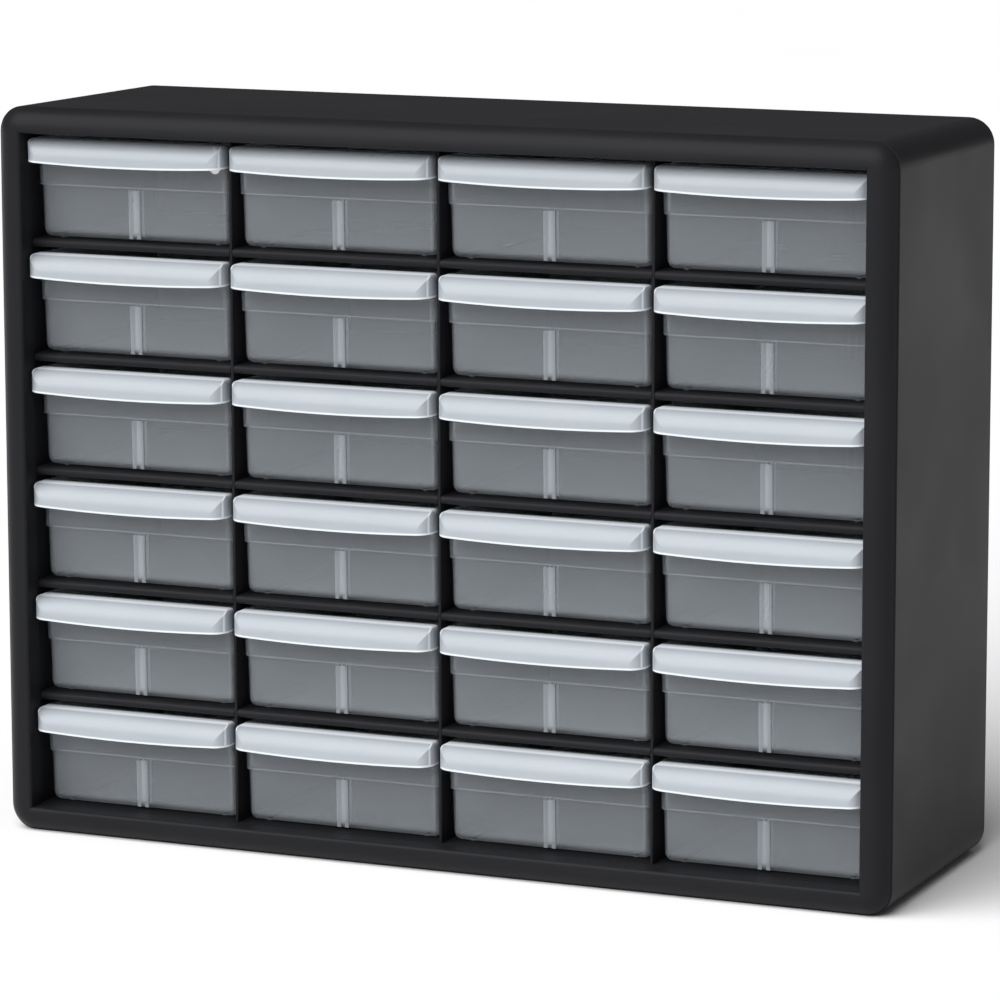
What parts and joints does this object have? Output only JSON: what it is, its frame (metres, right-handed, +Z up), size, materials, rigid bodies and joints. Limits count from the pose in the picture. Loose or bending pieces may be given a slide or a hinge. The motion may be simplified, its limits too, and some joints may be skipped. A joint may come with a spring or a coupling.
{
  "type": "parts bin cabinet",
  "caption": "Bench-top or wall-hung cabinet with a rounded black moulded frame and a grid of frosted pull-out drawers for small parts.",
  "frame": {"origin": "on the ground at the middle of the cabinet's footprint", "axes": "+Z up, drawers face and pull out along -Y, +X to the right seen from the front"},
  "size_m": [0.508, 0.162, 0.396],
  "materials": {
    "black_plastic": "moulded high-impact polystyrene, satin gloss",
    "frosted_plastic": "natural translucent polypropylene, frosted"
  },
  "bodies": {
    "cabinet": {"rear_shell": "black_plastic", "front_bezel": "black_plastic", "shelf_1": "black_plastic", "shelf_2": "black_plastic", "shelf_3": "black_plastic", "shelf_4": "black_plastic", "shelf_5": "black_plastic", "floor_deck": "black_plastic", "ceiling_deck": "black_plastic", "partition_left": "black_plastic", "partition_centre": "black_plastic", "partition_right": "black_plastic", "left_liner": "black_plastic", "right_liner": "black_plastic"},
    "drawer_r1_c1": {"drawer_r1_c1": "frosted_plastic"},
    "drawer_r1_c2": {"drawer_r1_c2": "frosted_plastic"},
    "drawer_r1_c3": {"drawer_r1_c3": "frosted_plastic"},
    "drawer_r1_c4": {"drawer_r1_c4": "frosted_plastic"},
    "drawer_r2_c1": {"drawer_r2_c1": "frosted_plastic"},
    "drawer_r2_c2": {"drawer_r2_c2": "frosted_plastic"},
    "drawer_r2_c3": {"drawer_r2_c3": "frosted_plastic"},
    "drawer_r2_c4": {"drawer_r2_c4": "frosted_plastic"},
    "drawer_r3_c1": {"drawer_r3_c1": "frosted_plastic"},
    "drawer_r3_c2": {"drawer_r3_c2": "frosted_plastic"},
    "drawer_r3_c3": {"drawer_r3_c3": "frosted_plastic"},
    "drawer_r3_c4": {"drawer_r3_c4": "frosted_plastic"},
    "drawer_r4_c1": {"drawer_r4_c1": "frosted_plastic"},
    "drawer_r4_c2": {"drawer_r4_c2": "frosted_plastic"},
    "drawer_r4_c3": {"drawer_r4_c3": "frosted_plastic"},
    "drawer_r4_c4": {"drawer_r4_c4": "frosted_plastic"},
    "drawer_r5_c1": {"drawer_r5_c1": "frosted_plastic"},
    "drawer_r5_c2": {"drawer_r5_c2": "frosted_plastic"},
    "drawer_r5_c3": {"drawer_r5_c3": "frosted_plastic"},
    "drawer_r5_c4": {"drawer_r5_c4": "frosted_plastic"},
    "drawer_r6_c1": {"drawer_r6_c1": "frosted_plastic"},
    "drawer_r6_c2": {"drawer_r6_c2": "frosted_plastic"},
    "drawer_r6_c3": {"drawer_r6_c3": "frosted_plastic"},
    "drawer_r6_c4": {"drawer_r6_c4": "frosted_plastic"}
  },
  "joints": [
    {"name": "slide_r1_c1", "type": "slide", "parent": "cabinet", "child": "drawer_r1_c1", "axis": [0, -1, 0], "range_m": [0, 0.126]},
    {"name": "slide_r1_c2", "type": "slide", "parent": "cabinet", "child": "drawer_r1_c2", "axis": [0, -1, 0], "range_m": [0, 0.126]},
    {"name": "slide_r1_c3", "type": "slide", "parent": "cabinet", "child": "drawer_r1_c3", "axis": [0, -1, 0], "range_m": [0, 0.126]},
    {"name": "slide_r1_c4", "type": "slide", "parent": "cabinet", "child": "drawer_r1_c4", "axis": [0, -1, 0], "range_m": [0, 0.126]},
    {"name": "slide_r2_c1", "type": "slide", "parent": "cabinet", "child": "drawer_r2_c1", "axis": [0, -1, 0], "range_m": [0, 0.126]},
    {"name": "slide_r2_c2", "type": "slide", "parent": "cabinet", "child": "drawer_r2_c2", "axis": [0, -1, 0], "range_m": [0, 0.126]},
    {"name": "slide_r2_c3", "type": "slide", "parent": "cabinet", "child": "drawer_r2_c3", "axis": [0, -1, 0], "range_m": [0, 0.126]},
    {"name": "slide_r2_c4", "type": "slide", "parent": "cabinet", "child": "drawer_r2_c4", "axis": [0, -1, 0], "range_m": [0, 0.126]},
    {"name": "slide_r3_c1", "type": "slide", "parent": "cabinet", "child": "drawer_r3_c1", "axis": [0, -1, 0], "range_m": [0, 0.126]},
    {"name": "slide_r3_c2", "type": "slide", "parent": "cabinet", "child": "drawer_r3_c2", "axis": [0, -1, 0], "range_m": [0, 0.126]},
    {"name": "slide_r3_c3", "type": "slide", "parent": "cabinet", "child": "drawer_r3_c3", "axis": [0, -1, 0], "range_m": [0, 0.126]},
    {"name": "slide_r3_c4", "type": "slide", "parent": "cabinet", "child": "drawer_r3_c4", "axis": [0, -1, 0], "range_m": [0, 0.126]},
    {"name": "slide_r4_c1", "type": "slide", "parent": "cabinet", "child": "drawer_r4_c1", "axis": [0, -1, 0], "range_m": [0, 0.126]},
    {"name": "slide_r4_c2", "type": "slide", "parent": "cabinet", "child": "drawer_r4_c2", "axis": [0, -1, 0], "range_m": [0, 0.126]},
    {"name": "slide_r4_c3", "type": "slide", "parent": "cabinet", "child": "drawer_r4_c3", "axis": [0, -1, 0], "range_m": [0, 0.126]},
    {"name": "slide_r4_c4", "type": "slide", "parent": "cabinet", "child": "drawer_r4_c4", "axis": [0, -1, 0], "range_m": [0, 0.126]},
    {"name": "slide_r5_c1", "type": "slide", "parent": "cabinet", "child": "drawer_r5_c1", "axis": [0, -1, 0], "range_m": [0, 0.126]},
    {"name": "slide_r5_c2", "type": "slide", "parent": "cabinet", "child": "drawer_r5_c2", "axis": [0, -1, 0], "range_m": [0, 0.126]},
    {"name": "slide_r5_c3", "type": "slide", "parent": "cabinet", "child": "drawer_r5_c3", "axis": [0, -1, 0], "range_m": [0, 0.126]},
    {"name": "slide_r5_c4", "type": "slide", "parent": "cabinet", "child": "drawer_r5_c4", "axis": [0, -1, 0], "range_m": [0, 0.126]},
    {"name": "slide_r6_c1", "type": "slide", "parent": "cabinet", "child": "drawer_r6_c1", "axis": [0, -1, 0], "range_m": [0, 0.126]},
    {"name": "slide_r6_c2", "type": "slide", "parent": "cabinet", "child": "drawer_r6_c2", "axis": [0, -1, 0], "range_m": [0, 0.126]},
    {"name": "slide_r6_c3", "type": "slide", "parent": "cabinet", "child": "drawer_r6_c3", "axis": [0, -1, 0], "range_m": [0, 0.126]},
    {"name": "slide_r6_c4", "type": "slide", "parent": "cabinet", "child": "drawer_r6_c4", "axis": [0, -1, 0], "range_m": [0, 0.126]}
  ]
}
